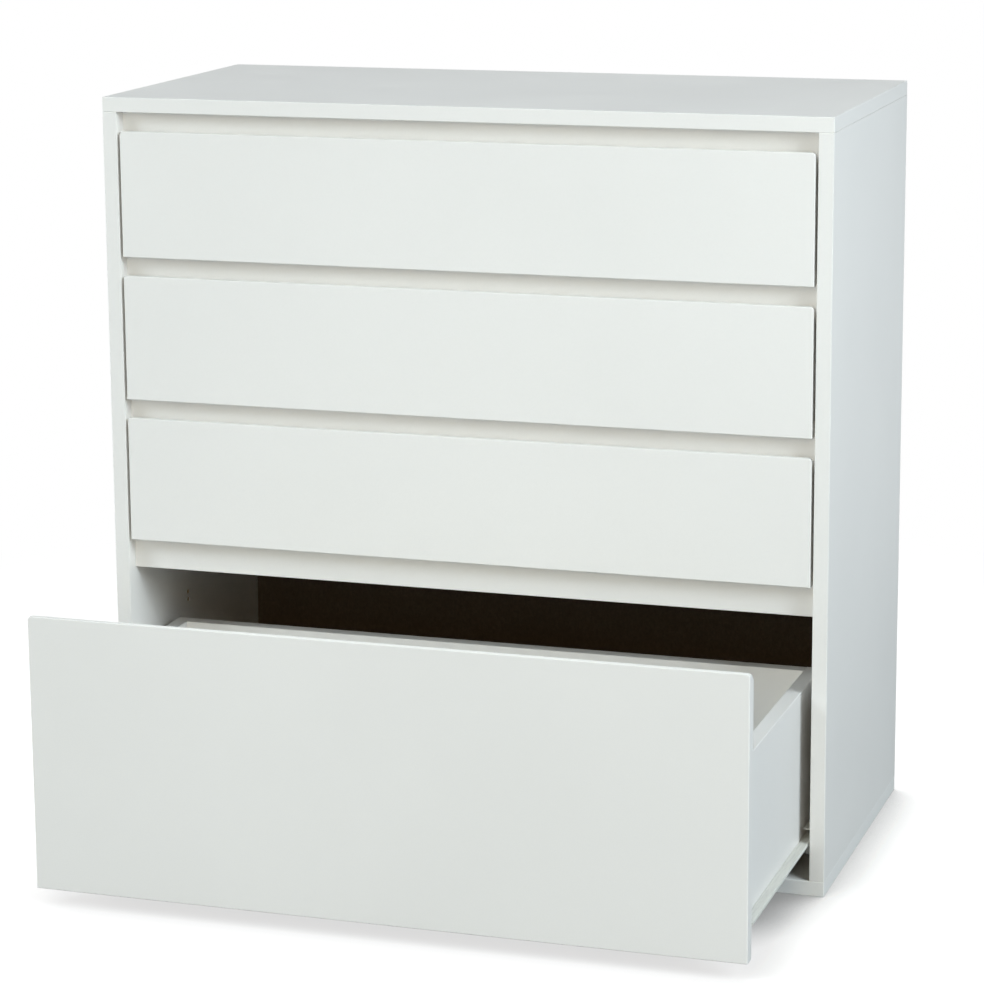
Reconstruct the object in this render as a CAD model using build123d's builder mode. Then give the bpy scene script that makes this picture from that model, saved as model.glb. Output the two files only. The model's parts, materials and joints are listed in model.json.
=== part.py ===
# Chest of four drawers: a carcass of white boards, inset fronts with finger gaps, roller runners.
# Millimetres, +Z up, front towards -Y, origin on the floor under the middle of the carcass.
import os

from build123d import *

# Carcass boards
chest_width = 800.0
chest_height = 820.0
chest_depth = 382.0
board = 16.0
board_ease = 0.8
joint_ease = 0.5

# Back sheet, held in a groove all round
back_sheet = 3.0
back_setback = 8.0
back_groove = 6.0
sheet_play = 0.15

# Drawer fronts, flush with the carcass and gripped by the top edge
small_drawers = 3
small_front_height = 136.5
front_thickness = 16.0
front_side_gap = 3.0
front_floor_gap = 3.0
finger_gap = 20.5
front_corner = 4.0
front_ease = 1.0
grip_land = 6.0
grip_drop = 10.0

# Rails that close the finger gaps from behind
rail_thickness = 16.0
rail_overlap = 14.5
rail_front_play = 1.5

# Drawer boxes
box_board = 16.0
box_ease = 1.0
box_side_gap = 12.5
box_rear_play = 5.0
box_rail_play = 10.0
large_box_share = 0.65
box_housing = 5.0
joint_play = 0.1
bottom_sheet = 3.0
bottom_lift = 8.0
bottom_groove = 6.0
open_reserve = 37.85

# Roller runners, bent from sheet steel
runner_sheet = 1.2
runner_bend = 1.0
runner_setback = 2.0
runner_front_play = 1.0
runner_web = 11.5
runner_seat = 12.0
runner_lip = 2.0
runner_play = 1.0
channel_play = 1.1
channel_headroom = 1.0
tab_wall = 3.6
screw_inset = 37.0
screw_hole_radius = 2.2

# Rollers and their rivets
roller_radius = 10.0
roller_play = 0.8
roller_run = 0.3
roller_rail_play = 1.5
roller_recess = 0.9
roller_rim = 3.6
roller_chamfer = 0.8
axle_inset = 14.0
axle_radius = 2.4
axle_run = 0.06
axle_head = 4.0
axle_head_height = 0.6
axle_side_play = 0.2

# Dowels in the carcass joints, and two spare holes inside each side
dowel_radius = 4.0
dowel_length = 30.0
dowel_in_face = 11.0
dowel_play = 0.15
dowel_end_play = 0.5
dowel_inset = 60.0
rail_dowel_share = 0.24
spare_hole_radius = 2.5
spare_hole_depth = 8.0
spare_hole_setback = 159.0
spare_hole_height = 225.0
spare_hole_pitch = 9.0
overrun = 1.0

# Places that follow from the sizes
half_width = chest_width / 2
inner_half = half_width - board
front_y = -chest_depth / 2
rear_y = chest_depth / 2
under_top = chest_height - board
back_groove_width = back_sheet + 2 * sheet_play
back_y = rear_y - back_setback - sheet_play - back_sheet
rail_y = front_y + front_thickness + rail_front_play
front_width = 2 * (inner_half - front_side_gap)
box_depth = back_y - box_rear_play - front_y - front_thickness
box_outer_half = inner_half - box_side_gap
box_inner_half = box_outer_half - box_board
bottom_groove_height = bottom_sheet + 2 * sheet_play

# Heights on a drawer, from the bottom edge of its front
roller_top = rail_overlap + roller_rail_play + 2 * roller_radius
box_lift = roller_top + roller_run + runner_sheet - runner_web
small_box_headroom = rail_overlap + box_rail_play

# The runner section: u runs inwards from the carcass side, v up from the box's bottom edge
web_u = box_side_gap - runner_sheet
flange_u = runner_sheet + runner_play
channel_u = web_u - channel_play
roller_in_u = flange_u + runner_sheet + roller_play
roller_out_u = web_u - roller_play
flange_under = runner_web - runner_sheet
front_axle_v = flange_under - roller_run - roller_radius
rear_axle_v = flange_under
channel_floor = rear_axle_v - roller_radius - roller_run
channel_ceiling = rear_axle_v + roller_radius + channel_headroom
tab_radius = axle_radius + tab_wall
runner_y = front_y + front_thickness + runner_setback
front_axle_y = runner_y + axle_inset
rear_axle_y = front_y + front_thickness + box_depth - axle_inset

# A drawer comes out until its rear rollers reach the front ones; the bottom one stands short of that
full_travel = rear_axle_y - front_axle_y - 2 * roller_radius
open_length = full_travel - open_reserve
print("full drawer travel:", round(full_travel, 2), "of which open:", round(open_length, 2))

# Bottom edges and heights of the fronts, from the top drawer down
front_bottoms = []
front_heights = []
gap_top = under_top
for row in range(small_drawers):
    front_heights.append(small_front_height)
    front_bottoms.append(gap_top - finger_gap - small_front_height)
    gap_top = front_bottoms[row]
front_bottoms.append(board + front_floor_gap)
front_heights.append(gap_top - finger_gap - front_bottoms[small_drawers])
small_box_height = small_front_height - box_lift - small_box_headroom
large_box_height = large_box_share * (front_heights[small_drawers] - box_lift)
box_heights = [small_box_height] * small_drawers + [large_box_height]
openings = [0.0] * small_drawers + [open_length]

# Rails, each from just behind one front to just behind the next
rail_names = ["top_rail", "upper_rail", "middle_rail", "lower_rail"]
rail_lows = []
rail_highs = []
for row in range(small_drawers + 1):
    rail_lows.append(front_bottoms[row] + front_heights[row] - rail_overlap)
    rail_highs.append(under_top if row == 0 else front_bottoms[row - 1] + rail_overlap)
rail_dowel_y = rail_y + rail_thickness / 2
rail_dowel_places = []
for row in range(small_drawers + 1):
    rail_height = rail_highs[row] - rail_lows[row]
    rail_dowel_places.append((rail_dowel_y, rail_lows[row] + rail_dowel_share * rail_height))
    rail_dowel_places.append((rail_dowel_y, rail_highs[row] - rail_dowel_share * rail_height))

# Dowels between the sides and the top and bottom boards
dowel_x = half_width - board / 2
dowel_y = chest_depth / 2 - dowel_inset
dowel_hole = dowel_radius + dowel_play
hole_in_face = dowel_in_face + dowel_end_play
hole_in_edge = dowel_length - dowel_in_face + dowel_end_play
corner_dowels = [(x, y) for x in (-dowel_x, dowel_x) for y in (-dowel_y, dowel_y)]


def keep(piece, name):
    piece.part.label = name
    export_step(piece.part, f"parts/{name}.step")


def side_plane(y, z):
    # Section plane on the right-hand carcass side: local x is u, local y is v, extrusions run backwards
    return Plane(origin=(inner_half, y, z), x_dir=(-1, 0, 0), z_dir=(0, 1, 0))


def axle_plane(y, z, u):
    # Plane across a roller axle at distance u from the right-hand carcass side, facing inwards
    return Plane(origin=(inner_half - u, y, z), x_dir=(0, 1, 0), z_dir=(-1, 0, 0))


os.makedirs("parts", exist_ok=True)

# Top and bottom boards run over the sides, with a stopped groove for the back sheet
with BuildPart() as top_panel:
    with BuildSketch(Plane.XY.offset(under_top)):
        Rectangle(chest_width, chest_depth)
    extrude(amount=board)
    fillet(top_panel.edges(), board_ease)
    with BuildSketch(Plane.XY.offset(under_top)):
        with Locations((0, rear_y - back_setback)):
            Rectangle(2 * (inner_half + back_groove), back_groove_width, align=(Align.CENTER, Align.MAX))
    extrude(amount=back_groove, mode=Mode.SUBTRACT)
    with BuildSketch(Plane.XY.offset(under_top)):
        with Locations(*corner_dowels):
            Circle(dowel_hole)
    extrude(amount=hole_in_face, mode=Mode.SUBTRACT)
keep(top_panel, "top_panel")

with BuildPart() as bottom_panel:
    with BuildSketch():
        Rectangle(chest_width, chest_depth)
    extrude(amount=board)
    fillet(bottom_panel.edges(), board_ease)
    with BuildSketch(Plane.XY.offset(board)):
        with Locations((0, rear_y - back_setback)):
            Rectangle(2 * (inner_half + back_groove), back_groove_width, align=(Align.CENTER, Align.MAX))
    extrude(amount=-back_groove, mode=Mode.SUBTRACT)
    with BuildSketch(Plane.XY.offset(board)):
        with Locations(*corner_dowels):
            Circle(dowel_hole)
    extrude(amount=-hole_in_face, mode=Mode.SUBTRACT)
keep(bottom_panel, "bottom_panel")

# Sides stand between them; the left one is the right one mirrored
with BuildPart() as right_side_panel:
    with BuildSketch(Plane.XY.offset(board)):
        with Locations((inner_half, 0)):
            Rectangle(board, chest_depth, align=(Align.MIN, Align.CENTER))
        with Locations((inner_half, rear_y - back_setback)):
            Rectangle(back_groove, back_groove_width, align=(Align.MIN, Align.MAX), mode=Mode.SUBTRACT)
    extrude(amount=under_top - board)
    chamfer(right_side_panel.faces().sort_by(Axis.Y)[0].edges(), joint_ease)
    with BuildSketch(Plane.XY.offset(under_top)):
        with Locations((dowel_x, -dowel_y), (dowel_x, dowel_y)):
            Circle(dowel_hole)
    extrude(amount=-hole_in_edge, mode=Mode.SUBTRACT)
    with BuildSketch(Plane.XY.offset(board)):
        with Locations((dowel_x, -dowel_y), (dowel_x, dowel_y)):
            Circle(dowel_hole)
    extrude(amount=hole_in_edge, mode=Mode.SUBTRACT)
    with BuildSketch(Plane.YZ.offset(inner_half)):
        with Locations(*rail_dowel_places):
            Circle(dowel_hole)
    extrude(amount=hole_in_face, mode=Mode.SUBTRACT)
    with BuildSketch(Plane.YZ.offset(inner_half)):
        with Locations((front_y + spare_hole_setback, spare_hole_height)):
            Circle(spare_hole_radius)
        with Locations((front_y + spare_hole_setback, spare_hole_height + spare_hole_pitch)):
            Circle(spare_hole_radius)
    extrude(amount=spare_hole_depth, mode=Mode.SUBTRACT)
keep(right_side_panel, "right_side_panel")

with BuildPart() as left_side_panel:
    mirror(right_side_panel.part, about=Plane.YZ)
keep(left_side_panel, "left_side_panel")

# Back sheet
back_low = board - back_groove + sheet_play
back_high = under_top + back_groove - sheet_play
with BuildPart() as back_panel:
    with BuildSketch(Plane.XZ.offset(-back_y)):
        with Locations((0, back_low)):
            Rectangle(
                2 * (inner_half + back_groove - sheet_play),
                back_high - back_low,
                align=(Align.CENTER, Align.MIN),
            )
    extrude(amount=-back_sheet)
keep(back_panel, "back_panel")

# Rails between the sides
for row, rail_name in enumerate(rail_names):
    with BuildPart() as rail:
        with BuildSketch(Plane.XZ.offset(-rail_y)):
            with Locations((0, rail_lows[row])):
                Rectangle(2 * inner_half, rail_highs[row] - rail_lows[row], align=(Align.CENTER, Align.MIN))
        extrude(amount=-rail_thickness)
        chamfer(rail.faces().sort_by(Axis.Y)[0].edges().filter_by(Axis.X), joint_ease)
        for end in (-1, 1):
            with BuildSketch(Plane.YZ.offset(end * inner_half)):
                with Locations(*rail_dowel_places[2 * row : 2 * row + 2]):
                    Circle(dowel_hole)
            extrude(amount=-end * hole_in_edge, mode=Mode.SUBTRACT)
    keep(rail, rail_name)

# All the carcass dowels
with BuildPart() as carcass_dowels:
    with BuildSketch(Plane.XY.offset(under_top + dowel_in_face)):
        with Locations(*corner_dowels):
            Circle(dowel_radius)
    extrude(amount=-dowel_length)
    with BuildSketch(Plane.XY.offset(board - dowel_in_face)):
        with Locations(*corner_dowels):
            Circle(dowel_radius)
    extrude(amount=dowel_length)
    with BuildSketch(Plane.YZ.offset(inner_half + dowel_in_face)):
        with Locations(*rail_dowel_places):
            Circle(dowel_radius)
    extrude(amount=-dowel_length)
    with BuildSketch(Plane.YZ.offset(-inner_half - dowel_in_face)):
        with Locations(*rail_dowel_places):
            Circle(dowel_radius)
    extrude(amount=dowel_length)
keep(carcass_dowels, "carcass_dowels")


def drawer_front(y, bottom, height, box_height):
    # Inset front: rounded top corners, eased face, bevelled grip, housings for the sides and bottom
    back = y + front_thickness
    top = bottom + height
    with BuildPart() as front:
        with BuildSketch(Plane.XZ.offset(-y)):
            with Locations((0, bottom)):
                Rectangle(front_width, height, align=(Align.CENTER, Align.MIN))
            fillet(vertices().group_by(Axis.Y)[-1], front_corner)
        extrude(amount=-front_thickness)
        fillet(front.faces().sort_by(Axis.Y)[0].edges(), front_ease)
        with BuildSketch(Plane.YZ):
            with BuildLine():
                Polyline(
                    (y + grip_land, top),
                    (back, top - grip_drop),
                    (back + overrun, top - grip_drop),
                    (back + overrun, top + overrun),
                    (y + grip_land, top + overrun),
                    close=True,
                )
            make_face()
        extrude(amount=half_width, both=True, mode=Mode.SUBTRACT)
        with BuildSketch(Plane.XZ.offset(-back)):
            with Locations(
                (-box_outer_half + box_board / 2, bottom + box_lift - joint_play),
                (box_outer_half - box_board / 2, bottom + box_lift - joint_play),
            ):
                Rectangle(
                    box_board + 2 * joint_play,
                    box_height + 2 * joint_play,
                    align=(Align.CENTER, Align.MIN),
                )
        extrude(amount=box_housing + joint_play, mode=Mode.SUBTRACT)
        with BuildSketch(Plane.XZ.offset(-back)):
            with Locations((0, bottom + box_lift + bottom_lift)):
                Rectangle(
                    2 * (box_inner_half + bottom_groove),
                    bottom_groove_height,
                    align=(Align.CENTER, Align.MIN),
                )
        extrude(amount=bottom_groove, mode=Mode.SUBTRACT)
    return front


def drawer_side(y, low, box_height):
    # Right-hand box side, grooved for the bottom sheet, with its front end let into the front
    with BuildPart() as side:
        with BuildSketch(side_plane(y + front_thickness - box_housing, low)):
            with Locations((box_side_gap, 0)):
                Rectangle(box_board, box_height, align=(Align.MIN, Align.MIN))
            with Locations((box_side_gap + box_board, bottom_lift)):
                Rectangle(
                    bottom_groove, bottom_groove_height, align=(Align.MAX, Align.MIN), mode=Mode.SUBTRACT
                )
        extrude(amount=box_housing + box_depth)
        fillet(side.edges().filter_by(Axis.Y).group_by(Axis.Z)[-1], box_ease)
    return side


def drawer_back(y, low, box_height):
    # Box back between the sides
    rear = y + front_thickness + box_depth
    with BuildPart() as back:
        with BuildSketch(Plane.YZ):
            with Locations((rear, low)):
                Rectangle(box_board, box_height, align=(Align.MAX, Align.MIN))
            with Locations((rear - box_board, low + bottom_lift)):
                Rectangle(
                    bottom_groove, bottom_groove_height, align=(Align.MIN, Align.MIN), mode=Mode.SUBTRACT
                )
        extrude(amount=box_inner_half, both=True)
        fillet(back.edges().filter_by(Axis.X).group_by(Axis.Z)[-1], box_ease)
    return back


def drawer_bottom(y, low):
    # Bottom sheet, held in the grooves of the front, the sides and the back
    start = y + front_thickness - bottom_groove + sheet_play
    stop = y + front_thickness + box_depth - box_board + bottom_groove - sheet_play
    with BuildPart() as bottom:
        with BuildSketch(Plane.XY.offset(low + bottom_lift + sheet_play)):
            with Locations((0, start)):
                Rectangle(
                    2 * (box_inner_half + bottom_groove - sheet_play),
                    stop - start,
                    align=(Align.CENTER, Align.MIN),
                )
        extrude(amount=bottom_sheet)
    return bottom


def rivet_axle(y, z, foot_u, side):
    # Riveted axle on a runner's web: shoulder, shank and head, from u = foot_u towards side (+1 inwards)
    hubs = [roller_in_u + roller_recess, roller_out_u - roller_recess]
    near, far = hubs if side > 0 else reversed(hubs)
    shoulder = near - side * axle_side_play
    head = far + side * axle_side_play
    with BuildPart() as axle:
        with BuildSketch(side_plane(y, z)):
            with BuildLine():
                Polyline(
                    (foot_u, 0),
                    (foot_u, axle_head),
                    (shoulder, axle_head),
                    (shoulder, axle_radius),
                    (head, axle_radius),
                    (head, axle_head),
                    (head + side * axle_head_height, axle_head),
                    (head + side * axle_head_height, 0),
                    close=True,
                )
            make_face()
        revolve(axis=Axis((inner_half, y, z), (-1, 0, 0)))
    return axle


def drawer_runner(y, low):
    # Drawer member: seat under the side, web on its face, running flange with a lip, rear axle
    length = box_depth - runner_front_play
    start = y + front_thickness + runner_front_play
    axle_y = y - front_y + rear_axle_y
    flange_end = axle_y - roller_radius - runner_setback
    axle = rivet_axle(axle_y, low + rear_axle_v, web_u, -1)
    with BuildPart() as runner:
        with BuildSketch(side_plane(start, low)):
            with BuildLine():
                Polyline(
                    (box_side_gap + runner_seat, -runner_sheet),
                    (web_u, -runner_sheet),
                    (web_u, flange_under),
                    (flange_u + runner_sheet, flange_under),
                    (flange_u + runner_sheet, flange_under - runner_lip),
                    (flange_u, flange_under - runner_lip),
                    (flange_u, runner_web),
                    (box_side_gap, runner_web),
                    (box_side_gap, 0),
                    (box_side_gap + runner_seat, 0),
                    close=True,
                )
            make_face()
            bends = vertices().group_by(Axis.Y)[0].sort_by(Axis.X)[:1] + vertices().group_by(Axis.Y)[-1]
            fillet(bends, runner_bend)
        extrude(amount=length)
        with BuildSketch(side_plane(flange_end, low)):
            with Locations((0, flange_under - runner_lip - overrun)):
                Rectangle(web_u, runner_web, align=(Align.MIN, Align.MIN))
        extrude(amount=length, mode=Mode.SUBTRACT)
        with BuildSketch(axle_plane(axle_y, low + rear_axle_v, web_u)):
            Circle(tab_radius)
        extrude(amount=runner_sheet)
        add(axle.part)
        with BuildSketch(Plane.XY.offset(low)):
            with Locations(
                (box_outer_half - runner_seat / 2, start + screw_inset),
                (box_outer_half - runner_seat / 2, start + length - screw_inset),
            ):
                Circle(screw_hole_radius)
        extrude(amount=-runner_sheet, mode=Mode.SUBTRACT)
    return runner


def cabinet_runner(low):
    # Carcass member: channel screwed to the side, its floor cut away round the front roller
    floor_start = front_axle_y + roller_radius + runner_setback
    axle = rivet_axle(front_axle_y, low + front_axle_v, runner_sheet, 1)
    with BuildPart() as runner:
        with BuildSketch(side_plane(runner_y, low)):
            with BuildLine():
                Polyline(
                    (0, channel_floor - runner_sheet),
                    (channel_u, channel_floor - runner_sheet),
                    (channel_u, channel_floor),
                    (runner_sheet, channel_floor),
                    (runner_sheet, channel_ceiling),
                    (channel_u, channel_ceiling),
                    (channel_u, channel_ceiling + runner_sheet),
                    (0, channel_ceiling + runner_sheet),
                    close=True,
                )
            make_face()
            fillet(vertices().group_by(Axis.X)[0], runner_bend)
        extrude(amount=box_depth)
        with BuildSketch(side_plane(runner_y, low)):
            with Locations((runner_sheet, channel_floor)):
                Rectangle(channel_u, runner_sheet, align=(Align.MIN, Align.MAX))
        extrude(amount=floor_start - runner_y, mode=Mode.SUBTRACT)
        with BuildSketch(axle_plane(front_axle_y, low + front_axle_v, 0)):
            Circle(tab_radius)
        extrude(amount=runner_sheet)
        add(axle.part)
        with BuildSketch(Plane.YZ.offset(inner_half)):
            with Locations(
                (runner_y + screw_inset, low + rear_axle_v),
                (runner_y + box_depth - screw_inset, low + rear_axle_v),
            ):
                Circle(screw_hole_radius)
        extrude(amount=-runner_sheet, mode=Mode.SUBTRACT)
    return runner


def roller_pair(y, z):
    # Two rollers on one line, left and right: a chamfered rim on a recessed hub
    rim_in = roller_radius - roller_rim
    bore = axle_radius + axle_run
    with BuildPart() as pair:
        with BuildSketch(side_plane(y, z)):
            with BuildLine():
                Polyline(
                    (roller_in_u + roller_recess, bore),
                    (roller_in_u + roller_recess, rim_in),
                    (roller_in_u, rim_in),
                    (roller_in_u, roller_radius),
                    (roller_out_u, roller_radius),
                    (roller_out_u, rim_in),
                    (roller_out_u - roller_recess, rim_in),
                    (roller_out_u - roller_recess, bore),
                    close=True,
                )
            make_face()
            chamfer(vertices().group_by(Axis.Y)[-1], roller_chamfer)
        revolve(axis=Axis((inner_half, y, z), (-1, 0, 0)))
        mirror(about=Plane.YZ)
    return pair


# The drawers, from the top down, each with its runners and rollers
for row, opened in enumerate(openings):
    drawer = f"drawer_{row + 1}"
    y = front_y - opened
    bottom = front_bottoms[row]
    low = bottom + box_lift
    box_height = box_heights[row]
    keep(drawer_front(y, bottom, front_heights[row], box_height), f"{drawer}_front")
    right_side = drawer_side(y, low, box_height)
    keep(right_side, f"{drawer}_right_side")
    with BuildPart() as left_side:
        mirror(right_side.part, about=Plane.YZ)
    keep(left_side, f"{drawer}_left_side")
    keep(drawer_back(y, low, box_height), f"{drawer}_back")
    keep(drawer_bottom(y, low), f"{drawer}_bottom")
    right_runner = drawer_runner(y, low)
    keep(right_runner, f"{drawer}_right_runner")
    with BuildPart() as left_runner:
        mirror(right_runner.part, about=Plane.YZ)
    keep(left_runner, f"{drawer}_left_runner")
    right_channel = cabinet_runner(low)
    keep(right_channel, f"{drawer}_right_channel")
    with BuildPart() as left_channel:
        mirror(right_channel.part, about=Plane.YZ)
    keep(left_channel, f"{drawer}_left_channel")
    keep(roller_pair(front_axle_y, low + front_axle_v), f"{drawer}_front_rollers")
    keep(roller_pair(rear_axle_y - opened, low + rear_axle_v), f"{drawer}_rear_rollers")
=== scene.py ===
# %% [markdown]
# # A storage chest with four drawers
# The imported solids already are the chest: boards, rails, drawer boxes, roller runners. This lesson dresses
# them. It sets up the camera and the studio, mixes a finish for each material, and adds the runner screws.
# Everything is in metres, in the frame of the solids: +Z is up and the drawers open towards -Y.

# %% Load the frame
import json
import math

import bmesh
import bpy
from mathutils import Matrix, Vector


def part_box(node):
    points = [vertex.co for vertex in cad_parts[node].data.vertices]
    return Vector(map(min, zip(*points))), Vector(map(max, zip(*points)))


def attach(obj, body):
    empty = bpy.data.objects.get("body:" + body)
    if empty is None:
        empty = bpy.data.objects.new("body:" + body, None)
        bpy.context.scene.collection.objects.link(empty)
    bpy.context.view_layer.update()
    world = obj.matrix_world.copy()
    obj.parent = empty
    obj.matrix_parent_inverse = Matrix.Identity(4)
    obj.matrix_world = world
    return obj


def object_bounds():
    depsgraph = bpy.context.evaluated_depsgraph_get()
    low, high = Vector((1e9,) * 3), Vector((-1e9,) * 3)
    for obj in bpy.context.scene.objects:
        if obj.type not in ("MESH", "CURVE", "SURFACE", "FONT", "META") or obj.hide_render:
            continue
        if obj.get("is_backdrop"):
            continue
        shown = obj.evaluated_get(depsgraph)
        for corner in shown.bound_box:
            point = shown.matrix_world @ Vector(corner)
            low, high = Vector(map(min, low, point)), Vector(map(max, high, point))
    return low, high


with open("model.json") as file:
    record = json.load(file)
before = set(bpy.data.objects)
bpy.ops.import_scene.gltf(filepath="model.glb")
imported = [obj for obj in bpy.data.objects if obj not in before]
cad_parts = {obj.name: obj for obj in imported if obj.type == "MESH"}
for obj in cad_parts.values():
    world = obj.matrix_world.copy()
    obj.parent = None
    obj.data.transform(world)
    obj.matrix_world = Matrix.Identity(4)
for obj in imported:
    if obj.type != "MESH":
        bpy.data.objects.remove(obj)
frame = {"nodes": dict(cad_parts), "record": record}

cad_low, cad_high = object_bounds()
scene = bpy.context.scene
scene.view_settings.view_transform = "Standard"
nodes = frame["nodes"]
print(len(nodes), "solids, from", [round(v, 3) for v in cad_low], "to", [round(v, 3) for v in cad_high])

# %% [markdown]
# ## The camera
# The picture was taken from the front right, a little above the chest, through a long lens. The place and the
# turn below come from fitting a camera to the chest's edges. The picture's uprights are parallel, which a
# shifted lens gives. A little of that shift is kept; the rest is tilt, so that other views stay in frame.

# %% Camera
camera_place = Vector((1.0859, -3.4135, 1.1839))
camera_yaw = math.radians(18.020)
camera_pitch = math.radians(11.614)
camera_roll = math.radians(-0.402)
sensor_width = 36.0
picture_width = 984
focal_pixels = 3285.3
lens_shift = -0.07

camera_data = bpy.data.cameras.new("camera")
camera_data.sensor_width = sensor_width
camera_data.lens = focal_pixels / picture_width * sensor_width
camera_data.shift_y = lens_shift
camera_data.clip_end = 100
camera = bpy.data.objects.new("camera", camera_data)
turn = Matrix.Rotation(camera_yaw, 4, "Z")
turn = turn @ Matrix.Rotation(math.radians(90) - camera_pitch, 4, "X")
turn = turn @ Matrix.Rotation(camera_roll, 4, "Z")
camera.matrix_world = Matrix.Translation(camera_place) @ turn
scene.collection.objects.link(camera)
scene.camera = camera
print("lens", round(camera_data.lens, 1), "mm at", [round(v, 2) for v in camera_place])

# %% [markdown]
# ## Writing shaders as sums
# A shader is a tree of nodes, and long trees are hard to read in code. The class Signal wraps one socket and
# lets sums and products of sockets be written as ordinary Python. Each operator adds one Math node. All other
# nodes come from Finish.node, which takes the node's type, its settings, and the values of its sockets.


# %% Shader helpers
class Signal:
    """One output socket that can be used in sums."""

    def __init__(self, finish, socket):
        self.finish, self.socket = finish, socket

    def math(self, operation, *values):
        return self.finish.node("ShaderNodeMath", {"operation": operation}, dict(enumerate(values)))

    def __add__(self, other):
        return self.math("ADD", self, other)

    def __sub__(self, other):
        return self.math("SUBTRACT", self, other)

    def __rsub__(self, other):
        return self.math("SUBTRACT", other, self)

    def __mul__(self, other):
        return self.math("MULTIPLY", self, other)

    def __pow__(self, other):
        return self.math("POWER", self, other)

    __radd__, __rmul__ = __add__, __mul__

    def above(self, level):
        return self.math("GREATER_THAN", self, level)


class Finish:
    """A material, or the world, whose nodes are made one call at a time."""

    def __init__(self, owner):
        owner.use_nodes = True
        self.owner, self.tree = owner, owner.node_tree
        self.tree.nodes.clear()

    def node(self, kind, settings=None, sockets=None, out=0):
        made = self.tree.nodes.new(kind)
        for key, value in (settings or {}).items():
            if key == "stops":
                ramp = made.color_ramp.elements
                while len(ramp) < len(value):
                    ramp.new(1.0)
                for stop, (place, colour) in zip(ramp, value):
                    stop.position, stop.color = place, (*colour, 1)
            else:
                setattr(made, key, value)
        for key, value in (sockets or {}).items():
            if isinstance(value, Signal):
                self.tree.links.new(value.socket, made.inputs[key])
            else:
                made.inputs[key].default_value = value
        return Signal(self, made.outputs[out]) if len(made.outputs) else None

    def place(self):
        return self.node("ShaderNodeTexCoord", out="Object")

    def axes(self, vector):
        split = self.node("ShaderNodeSeparateXYZ", sockets={0: vector})
        return [Signal(self, socket) for socket in split.socket.node.outputs]

    def stretched(self, factors):
        return self.node("ShaderNodeVectorMath", {"operation": "MULTIPLY"}, {0: self.place(), 1: factors})

    def noise(self, scale, detail=2.0, vector=None, warp=0.0):
        sockets = {"Vector": vector or self.place(), "Scale": scale, "Detail": detail, "Distortion": warp}
        return self.node("ShaderNodeTexNoise", sockets=sockets, out="Fac")

    def spread(self, signal, low, high, to_low=0.0, to_high=1.0):
        sockets = {"Value": signal, 1: low, 2: high, 3: to_low, 4: to_high}
        return self.node("ShaderNodeMapRange", {"interpolation_type": "SMOOTHSTEP"}, sockets)

    def mix(self, factor, first, second):
        first, second = [c if isinstance(c, Signal) else (*c, 1) for c in (first, second)]
        return self.node("ShaderNodeMix", {"data_type": "RGBA"}, {0: factor, 6: first, 7: second}, out=2)

    def facing(self):
        return self.node("ShaderNodeNewGeometry", out="Normal")

    def edges(self, width):
        """1 on the arrises, 0 on the flats: how far a rounded normal leaves the true one."""
        rounded = self.node("ShaderNodeBevel", {"samples": 4}, {"Radius": width})
        sockets = {0: rounded, 1: self.facing()}
        agree = self.node("ShaderNodeVectorMath", {"operation": "DOT_PRODUCT"}, sockets, out="Value")
        return self.spread(1 - agree, 0.0, 0.22)

    def surface(self, colour, roughness, height, depth, specular=0.5, metallic=0.0):
        bump = self.node("ShaderNodeBump", sockets={"Height": height, "Strength": 1.0, "Distance": depth})
        sockets = {"Base Color": colour, "Roughness": roughness, "Normal": bump}
        sockets.update({"Specular IOR Level": specular, "Metallic": metallic})
        shader = self.node("ShaderNodeBsdfPrincipled", sockets=sockets)
        self.node("ShaderNodeOutputMaterial", sockets={"Surface": shader})
        return self.owner


def new_finish(name):
    return Finish(bpy.data.materials.new(name))


print("shader helpers ready")

# %% [markdown]
# ## White foil on board
# All the boards are particle board wrapped in a white satin foil. Close up it isn't one flat white: it drifts a
# little in tone, has a fine pearl grain, is a touch duller where hands go, and its arrises are rubbed. The ends
# that face the wall are left raw, as on most such chests, so there the chips of the board show. They show too in
# the spare holes of the side boards. The bottom board lies in the drawer's shade, so its foil is painted a little
# lighter: painted light that lifts that shade.


# %% White foil
# The second white is painted light: a lighter copy of the foil white for the bottom board, lifting the drawer's shade
# on it.
foil_white, shade_lifted_white, rubbed_white = (0.902, 0.883, 0.852), (0.925, 0.915, 0.885), (0.72, 0.70, 0.655)
drift_share, grain_share, raw_roughness = 0.965, 0.88, 0.85


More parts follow.
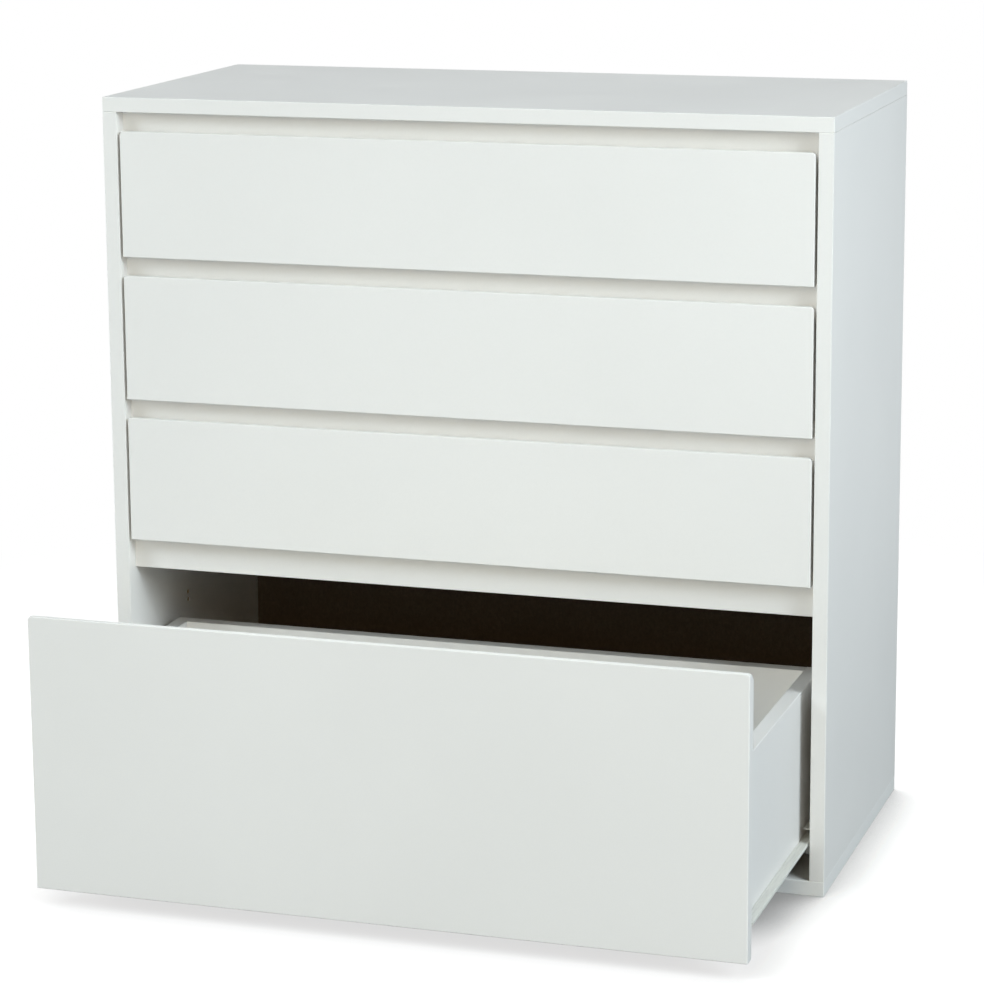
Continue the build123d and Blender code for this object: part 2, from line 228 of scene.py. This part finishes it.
def white_foil(name, rear_end, tone=foil_white, bores=(), rear_band=0.0006, rub_width=0.0011):
    finish = new_finish(name)
    drift = finish.noise(2.3, 3.0)
    grain = finish.noise(620.0, 2.0)
    touch = finish.noise(9.0, 4.0, warp=0.6)
    drifted, grained = [[c * share for c in tone] for share in (drift_share, grain_share)]
    white = finish.mix(finish.spread(drift, 0.3, 0.7), tone, drifted)
    white = finish.mix(finish.spread(grain, 0.35, 0.75, 0.0, 0.10), white, grained)
    rub = finish.edges(rub_width) * finish.spread(touch, 0.35, 0.75, 0.12, 0.55)
    white = finish.mix(rub, white, rubbed_white)
    across, along, up = finish.axes(finish.place())
    back = finish.axes(finish.facing())[1]
    raw = along.above(rear_end - rear_band) * back.above(0.6)
    for bore_y, bore_z, radius, end in bores:
        apart = ((along - bore_y) ** 2.0 + (up - bore_z) ** 2.0) ** 0.5
        within = (radius - apart).above(0.0) * (end - across.math("ABSOLUTE", across)).above(0.0)
        raw = raw.math("MAXIMUM", raw, within)
    chips = finish.noise(260.0, 5.0, vector=finish.stretched((1.0, 1.0, 0.55)), warp=0.8)
    stops = [(0.30, (0.13, 0.075, 0.035)), (0.46, (0.36, 0.235, 0.13)), (0.62, (0.52, 0.38, 0.23))]
    board = finish.node("ShaderNodeValToRGB", {"stops": stops}, {"Fac": chips})
    colour = finish.mix(raw, white, board)
    gloss = 0.36 + finish.spread(touch, 0.3, 0.8, 0.0, 0.09) + rub * 0.15
    roughness = gloss * (1 - raw) + raw * raw_roughness
    height = grain * (1 - raw) * 0.25 + chips * raw
    return finish.surface(colour, roughness, height, 0.00012)


carcass_rear = cad_high.y
bore_back, bore_heights, bore_radius, bore_end = -0.032, (0.225, 0.234), 0.00252, 0.396
spare_bores = [(bore_back, height, bore_radius, bore_end) for height in bore_heights]
carcass_foil = white_foil("carcass_foil", carcass_rear, bores=spare_bores)
# Painted light: the bottom board gets a lighter copy of the foil, which lifts the shade the open drawer casts on it.
shade_lifted_foil = white_foil("shade_lifted_foil", carcass_rear, tone=shade_lifted_white)
print("foil for the carcass, raw from y =", round(carcass_rear, 3))

# %% [markdown]
# ## Hardboard
# The back is a thin sheet of brown hardboard. Its inner face is pressed smooth, and its outer face carries the
# weave of the screen it was pressed on, so the two faces of one sheet need different heights. The drawer bottoms
# are the same sheet, lacquered white on the upper face only.


# %% Hardboard
def screen_weave(finish, pitch=0.0021):
    x, _, z = finish.axes(finish.place())
    turns = 2 * math.pi / pitch
    warp, weft = [(axis * turns).math("SINE", axis * turns) for axis in (x, z)]
    return warp * weft * 0.5 + 0.5


def brown_sheet(finish, gain):
    fibre = finish.noise(420.0, 6.0, vector=finish.stretched((1.0, 1.0, 0.7)), warp=0.5)
    cloud = finish.noise(5.0, 3.0)
    stops = [(0.28, (0.066, 0.045, 0.030)), (0.52, (0.084, 0.058, 0.038)), (0.78, (0.110, 0.077, 0.051))]
    stops = [(place, [c * gain for c in colour]) for place, colour in stops]
    brown = finish.node("ShaderNodeValToRGB", {"stops": stops}, {"Fac": fibre})
    stain = [c * gain for c in (0.06, 0.04, 0.025)]
    return finish.mix(finish.spread(cloud, 0.3, 0.7, 0.0, 0.35), brown, stain), fibre


def hardboard_back():
    finish = new_finish("hardboard_back")
    brown, fibre = brown_sheet(finish, gain=1.35)
    outside = finish.axes(finish.facing())[1].above(0.0)
    weave = screen_weave(finish)
    colour = finish.mix(outside * (1 - weave) * 0.45, brown, (0.035, 0.022, 0.013))
    roughness = 0.52 + outside * 0.26 + fibre * 0.1
    height = fibre * 0.2 + weave * outside * 0.8
    return finish.surface(colour, roughness, height, 0.00025, specular=0.35)


def hardboard_bottom():
    finish = new_finish("hardboard_bottom")
    brown, fibre = brown_sheet(finish, gain=1.9)
    under = (finish.axes(finish.facing())[2] * -1.0).above(0.3)
    drift = finish.noise(3.0, 3.0)
    fleck = finish.noise(480.0, 3.0)
    white = finish.mix(finish.spread(drift, 0.3, 0.7), (0.755, 0.765, 0.745), (0.715, 0.725, 0.70))
    white = finish.mix(finish.spread(fleck, 0.4, 0.8, 0.0, 0.14), white, (0.60, 0.60, 0.57))
    colour = finish.mix(under, white, brown)
    roughness = 0.55 + fleck * 0.12 + under * 0.15
    return finish.surface(colour, roughness, fleck * 0.4 + fibre * under, 0.00012, specular=0.4)


back_finish, bottom_finish = hardboard_back(), hardboard_bottom()
print("hardboard:", back_finish.name, bottom_finish.name)

# %% [markdown]
# ## Coated steel, nylon and beech
# The runners are bent steel with a creamy white coating. It has a slight orange peel, wears grey where rollers
# pass, and is rubbed to the metal on its arrises. The rollers are turned-looking nylon, with fine rings about
# their axles. The dowels hide in the joints, and are plain beech with the grain along their length.


# %% Coated steel
def coated_steel():
    finish = new_finish("coated_steel")
    peel = finish.noise(340.0, 2.0)
    streak = finish.noise(60.0, 4.0, vector=finish.stretched((9.0, 0.5, 9.0)))
    patch = finish.noise(30.0, 4.0)
    drift = finish.noise(6.0, 2.0)
    up = finish.axes(finish.facing())[2]
    track = up.math("ABSOLUTE", up).above(0.8) * finish.spread(streak, 0.45, 0.75, 0.0, 0.45)
    worn = finish.edges(0.0006) * finish.spread(patch, 0.45, 0.65, 0.05, 0.75)
    cream = finish.mix(finish.spread(drift, 0.3, 0.7), (0.785, 0.785, 0.735), (0.735, 0.735, 0.685))
    cream = finish.mix(track, cream, (0.47, 0.47, 0.45))
    colour = finish.mix(worn, cream, (0.42, 0.42, 0.41))
    roughness = 0.34 + peel * 0.1 + track * 0.12
    return finish.surface(colour, roughness, peel, 0.00006, metallic=worn * 0.8)


steel_finish = coated_steel()
print("runner finish:", steel_finish.name)


# %% Nylon and beech
def turned_nylon(name, axle_y, axle_z, ring_pitch=0.0009):
    finish = new_finish(name)
    _, y, z = finish.axes(finish.place())
    radius = ((y - axle_y) ** 2.0 + (z - axle_z) ** 2.0) ** 0.5
    turns = radius * (2 * math.pi / ring_pitch)
    rings = turns.math("SINE", turns) * 0.5 + 0.5
    cloud = finish.noise(90.0, 4.0)
    grime = finish.spread(radius, 0.0055, 0.0098, 0.0, 0.5) * finish.spread(cloud, 0.35, 0.7)
    nylon = finish.mix(rings * 0.2, (0.66, 0.66, 0.63), (0.58, 0.58, 0.55))
    colour = finish.mix(grime, nylon, (0.40, 0.39, 0.37))
    roughness = 0.38 + cloud * 0.16
    return finish.surface(colour, roughness, rings * 0.3 + cloud * 0.4, 0.00008)


def plain_beech():
    finish = new_finish("plain_beech")
    grain = finish.noise(300.0, 5.0, vector=finish.stretched((0.35, 1.0, 0.35)), warp=0.4)
    flecks = finish.noise(900.0, 2.0)
    stops = [(0.30, (0.42, 0.27, 0.15)), (0.55, (0.60, 0.43, 0.26)), (0.80, (0.72, 0.55, 0.36))]
    wood = finish.node("ShaderNodeValToRGB", {"stops": stops}, {"Fac": grain})
    colour = finish.mix(finish.spread(flecks, 0.55, 0.75, 0.0, 0.4), wood, (0.36, 0.22, 0.12))
    return finish.surface(colour, 0.6 + grain * 0.2, grain, 0.0002, specular=0.3)


dowel_finish = plain_beech()
print("dowels:", dowel_finish.name)

# %% [markdown]
# ## Dressing the solids
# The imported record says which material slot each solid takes. Boards of one body share a foil; each drawer has
# its own, because the raw ends of its sides are in a different place. Each pair of rollers has its own nylon,
# centred on its axle. A solid's mesh isn't touched: only its material slots are filled.


# %% Dress the solids
def dress(node, finish):
    slots = nodes[node].data.materials
    slots.clear()
    slots.append(finish)


slot_of = {part["node"]: part["material_slot"] for part in frame["record"]["subparts"]}
plain_finishes = {
    "white_hardboard": bottom_finish,
    "brown_hardboard": back_finish,
    "beech_dowel": dowel_finish,
    "runner_steel": steel_finish,
}
drawer_foils = {}
for node, slot in slot_of.items():
    if slot == "white_board":
        drawer = "_".join(node.split("_")[:2])
        if not drawer.startswith("drawer_"):
            # The bottom board takes the lighter foil, painted light against the drawer's shade.
            dress(node, shade_lifted_foil if node == "bottom_panel" else carcass_foil)
            continue
        if drawer not in drawer_foils:
            drawer_foils[drawer] = white_foil(f"{drawer}_foil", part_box(f"{drawer}_back")[1].y)
        dress(node, drawer_foils[drawer])
    elif slot == "roller_nylon":
        low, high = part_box(node)
        dress(node, turned_nylon(f"{node}_nylon", (low.y + high.y) / 2, (low.z + high.z) / 2))
    else:
        dress(node, plain_finishes[slot])
print("dressed", len(slot_of), "solids;", len(bpy.data.materials), "materials")

# %% [markdown]
# ## Runner screws
# Two screws hold each channel to the carcass, and two hold each drawer runner under its side. They repeat, so
# one Geometry Nodes tree makes them all: it builds a low domed head with a cross recess, and sets a copy on each
# point of a small mesh, turned to that point's facing. Copies are made real at the end, since an export drops
# instances. The heads are low because the drawer's flange passes a millimetre in front of them.


# %% Screw heads as a node tree
def screw_tree(sides=24, rings=4, recess_reach=1.1):
    tree = bpy.data.node_groups.new("screw_heads", "GeometryNodeTree")
    face = tree.interface
    face.new_socket("Geometry", in_out="INPUT", socket_type="NodeSocketGeometry")
    for name in ("Head radius", "Head height", "Dome", "Recess width"):
        face.new_socket(name, in_out="INPUT", socket_type="NodeSocketFloat")
    face.new_socket("Material", in_out="INPUT", socket_type="NodeSocketMaterial")
    face.new_socket("Geometry", in_out="OUTPUT", socket_type="NodeSocketGeometry")

    def made(kind, settings=None, sockets=None):
        node = tree.nodes.new(kind)
        for key, value in (settings or {}).items():
            setattr(node, key, value)
        for key, value in (sockets or {}).items():
            if hasattr(value, "is_output"):
                tree.links.new(value, node.inputs[key])
            else:
                node.inputs[key].default_value = value
        return node

    def sum_of(operation, *values):
        return made("ShaderNodeMath", {"operation": operation}, dict(enumerate(values))).outputs[0]

    given = made("NodeGroupInput").outputs
    radius, height = given["Head radius"], given["Head height"]
    sockets = {"Vertices": sides, "Fill Segments": rings, "Radius": radius, "Depth": height}
    disc = made("GeometryNodeMeshCylinder", sockets=sockets)
    place = made("ShaderNodeSeparateXYZ", sockets={0: made("GeometryNodeInputPosition").outputs[0]}).outputs
    out_x, out_y = [sum_of("POWER", sum_of("DIVIDE", place[axis], radius), 2.0) for axis in "XY"]
    crown = sum_of("SUBTRACT", 1.0, sum_of("ADD", out_x, out_y))
    lift = sum_of("MULTIPLY", sum_of("MULTIPLY", crown, given["Dome"]), sum_of("GREATER_THAN", place["Z"], 0.0))
    rise = made("ShaderNodeCombineXYZ", sockets={"Z": lift}).outputs[0]
    dome = made("GeometryNodeSetPosition", sockets={"Geometry": disc.outputs["Mesh"], "Offset": rise})
    head = dome.outputs[0]
    for long, short in ((0, 1), (1, 0)):
        reach = sum_of("MULTIPLY", radius, recess_reach)
        sockets = {long: reach, short: given["Recess width"], 2: given["Dome"]}
        size = made("ShaderNodeCombineXYZ", sockets=sockets).outputs[0]
        bar = made("GeometryNodeMeshCube", sockets={"Size": size}).outputs["Mesh"]
        top = made("ShaderNodeCombineXYZ", sockets={"Z": sum_of("ADD", height, given["Dome"])}).outputs[0]
        arm = made("GeometryNodeTransform", sockets={"Geometry": bar, "Translation": top}).outputs[0]
        sockets = {"Mesh 1": head, "Mesh 2": arm}
        head = made("GeometryNodeMeshBoolean", {"operation": "DIFFERENCE"}, sockets).outputs["Mesh"]
    facing = made("GeometryNodeInputNamedAttribute", {"data_type": "FLOAT_VECTOR"}, {"Name": "facing"})
    aim = made("FunctionNodeAlignRotationToVector", {"axis": "Z"}, {"Vector": facing.outputs["Attribute"]})
    sockets = {"Points": given["Geometry"], "Instance": head, "Rotation": aim.outputs[0]}
    copies = made("GeometryNodeInstanceOnPoints", sockets=sockets).outputs[0]
    real = made("GeometryNodeRealizeInstances", sockets={"Geometry": copies}).outputs[0]
    sockets = {"Geometry": real, "Material": given["Material"]}
    painted = made("GeometryNodeSetMaterial", sockets=sockets).outputs[0]
    made("NodeGroupOutput", sockets={0: painted})
    return tree


screw_heads = screw_tree()
print("screw tree:", len(screw_heads.nodes), "nodes")


# %% [markdown]
# The points come from the boxes of the solids: each hole is a fixed way in from the ends of its channel or runner.
# Zinc gives the screws their bluish grey. One plain mesh is kept for each body, and rides on it.


# %% Set the screws
def zinc_plate():
    finish = new_finish("zinc_plate")
    spangle = finish.noise(1400.0, 3.0)
    tarnish = finish.noise(160.0, 3.0)
    colour = finish.mix(finish.spread(tarnish, 0.35, 0.7), (0.62, 0.63, 0.65), (0.44, 0.45, 0.47))
    return finish.surface(colour, 0.30 + spangle * 0.2, spangle, 0.00003, metallic=0.9)


def set_screws(name, body, sites, sizes, finish):
    mesh = bpy.data.meshes.new(name + "_points")
    mesh.from_pydata([place for place, _ in sites], [], [])
    facing = mesh.attributes.new("facing", "FLOAT_VECTOR", "POINT")
    for row, (_, way) in zip(facing.data, sites):
        row.vector = way
    seed = bpy.data.objects.new(name + "_points", mesh)
    scene.collection.objects.link(seed)
    grow = seed.modifiers.new("screw_heads", "NODES")
    grow.node_group = screw_heads
    for item in screw_heads.interface.items_tree:
        if item.in_out == "INPUT" and item.name in sizes:
            grow[item.identifier] = sizes[item.name]
        elif item.name == "Material":
            grow[item.identifier] = finish
    grown = seed.evaluated_get(bpy.context.evaluated_depsgraph_get())
    piece = bpy.data.objects.new(name, bpy.data.meshes.new_from_object(grown))
    bpy.data.objects.remove(seed)
    scene.collection.objects.link(piece)
    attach(piece, body)
    print(name, len(piece.data.polygons), "faces")


zinc = zinc_plate()
screw_inset, sheet, hole_drop, seat_half = 0.037, 0.0012, 0.0122, 0.006
low_head = {"Head radius": 0.0033, "Head height": 0.0004, "Dome": 0.0004, "Recess width": 0.0008}
pan_head = {"Head radius": 0.0036, "Head height": 0.0018, "Dome": 0.0008, "Recess width": 0.0010}
channel_sites = []
for row in range(1, 5):
    runner_sites = []
    for side, inward in (("left", 1), ("right", -1)):
        low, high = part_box(f"drawer_{row}_{side}_channel")
        web = (low.x if inward > 0 else high.x) + inward * sheet
        for y in (low.y + screw_inset, high.y - screw_inset):
            channel_sites.append(((web, y, high.z - hole_drop), (inward, 0, 0)))
        low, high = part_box(f"drawer_{row}_{side}_runner")
        seat = (high.x if inward > 0 else low.x) - inward * seat_half
        for y in (low.y + screw_inset, high.y - screw_inset):
            runner_sites.append(((seat, y, low.z), (0, 0, -1)))
    set_screws(f"drawer_{row}_runner_screws", f"drawer_{row}", runner_sites, pan_head, zinc)
set_screws("channel_screws", "cabinet", channel_sites, low_head, zinc)

# %% [markdown]
# ## The studio
# A pale floor and soft lamps. The picture's ground is pure white, so the floor and the world show white to the
# camera, while the light that reaches the chest stays at a plain level. Glossy rays see the same surroundings a
# step darker, or the satin foil would wash out. Near the chest the floor is partly a matte surface that takes the
# lamps' shadows, and ambient occlusion darkens it where the chest stands close to it. Both are faint under the front
# of the open drawer and full behind it and to its right, as the picture has them.


# %% Floor and world
def ray_kinds(finish):
    path = finish.node("ShaderNodeLightPath").socket.node.outputs
    names = ("Is Camera Ray", "Is Transmission Ray", "Is Glossy Ray")
    seen, through, mirrored = [Signal(finish, path[name]) for name in names]
    return seen.math("MAXIMUM", seen, through), mirrored


def studio_floor(half_side=20.0, steps=8, middle_y=-0.1, faint=0.80, full=0.26):
    mesh = bpy.data.meshes.new("studio_floor")
    sheet_mesh = bmesh.new()
    bmesh.ops.create_grid(sheet_mesh, x_segments=steps, y_segments=steps, size=half_side)
    sheet_mesh.to_mesh(mesh)
    sheet_mesh.free()
    floor = bpy.data.objects.new("studio_floor", mesh)
    scene.collection.objects.link(floor)
    floor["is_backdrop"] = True
    finish = new_finish("studio_floor")
    x, y, _ = finish.axes(finish.place())
    reach = (x ** 2.0 + (y - middle_y) ** 2.0) ** 0.5
    matte = finish.node("ShaderNodeBsdfDiffuse", sockets={"Color": (0.34, 0.34, 0.34, 1)})
    lit = finish.node("ShaderNodeBsdfDiffuse", sockets={"Color": (1.80, 1.72, 1.66, 1)})
    dark = finish.node("ShaderNodeBsdfDiffuse", sockets={"Color": (0, 0, 0, 1)})
    glow = finish.node("ShaderNodeEmission", sockets={"Strength": 1.0})
    under, beside = finish.spread(y, -0.38, -0.26), finish.spread(x, 0.36, 0.42)
    shaded = under.math("MAXIMUM", under, beside)
    real = finish.spread(reach, 0.7, 1.5, 0.14, 0.0) * (shaded * 2.0 + 1.0)
    white = finish.node("ShaderNodeMixShader", sockets={0: real, 1: glow, 2: lit})
    air = finish.node("ShaderNodeAmbientOcclusion", {"samples": 16}, {"Distance": 0.11}, out="AO")
    deepest = faint - shaded * (faint - full)
    open_air = finish.spread(air, 0.15, 0.95, deepest, 1.0)
    shown = finish.node("ShaderNodeMixShader", sockets={0: open_air, 1: dark, 2: white})
    seen, mirrored = ray_kinds(finish)
    glimpse = finish.spread(reach, 0.5, 2.8, 0.0, 0.55)
    sheen = finish.node("ShaderNodeMixShader", sockets={0: mirrored * glimpse, 1: matte, 2: glow})
    both = finish.node("ShaderNodeMixShader", sockets={0: seen, 1: sheen, 2: shown})
    finish.node("ShaderNodeOutputMaterial", sockets={"Surface": both})
    mesh.materials.append(finish.owner)


def white_world(ambient, in_gloss):
    finish = Finish(bpy.data.worlds.new("studio"))
    scene.world = finish.owner
    seen, mirrored = ray_kinds(finish)
    strength = seen + mirrored * in_gloss + (1 - seen - mirrored) * ambient
    air = finish.node("ShaderNodeBackground", sockets={"Color": (1, 1, 1, 1), "Strength": strength})
    finish.node("ShaderNodeOutputWorld", sockets={"Surface": air})


studio_floor()
white_world(ambient=0.02, in_gloss=0.3)
print("floor and world ready")


# %% [markdown]
# The lamps are large squares, cool from the sides and warm near the camera. Only a lamp high overhead shows in glossy
# reflections: a lower one would leave a bright patch on the top board in views from behind.


# %% Lamps
def soft_lamp(name, place, aim, size, watts, colour):
    data = bpy.data.lights.new(name, "AREA")
    data.shape, data.size, data.energy, data.color = "SQUARE", size, watts, colour
    lamp = bpy.data.objects.new(name, data)
    lamp.location = place
    lamp.rotation_euler = (Vector(aim) - Vector(place)).to_track_quat("-Z", "Y").to_euler()
    lamp.visible_camera = False
    lamp.visible_glossy = place[2] > overhead_height
    scene.collection.objects.link(lamp)


overhead_height = 3.0
at_front, at_top, at_middle = (0.0, -0.2, 0.4), (0.0, -0.1, 0.4), (0.0, 0.0, 0.4)
sky, clear, warm = (0.84, 0.94, 1.0), (0.94, 0.98, 1.0), (1.0, 0.88, 0.64)
lamps = {
    "left_front": ((-2.8, -2.2, 2.2), at_front, 1.6, 72.0, sky),
    "right_side": ((3.1, -1.5, 2.1), at_front, 1.8, 116.0, sky),
    "near_camera": ((0.7, -4.0, 1.65), at_front, 1.2, 28.0, warm),
    "low_front": ((0.2, -3.6, 0.5), at_front, 1.2, 19.0, sky),
    "overhead": ((0.0, 0.1, 3.4), at_top, 1.6, 13.0, clear),
    "left_side": ((-3.0, 0.4, 1.8), at_middle, 1.6, 34.0, clear),
    "rear": ((0.0, 3.2, 2.6), at_middle, 2.4, 40.0, clear),
}
for name, (place, aim, size, watts, colour) in lamps.items():
    soft_lamp(name, place, aim, size, watts, colour)
print(len(lamps), "lamps")

# %% [markdown]
# ## Hand over
# The box of the dressed chest is printed, to set beside the box of the solids printed at the start.

# %% Finish
low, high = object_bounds()
print("visual box", [round(v, 4) for v in low], [round(v, 4) for v in high])
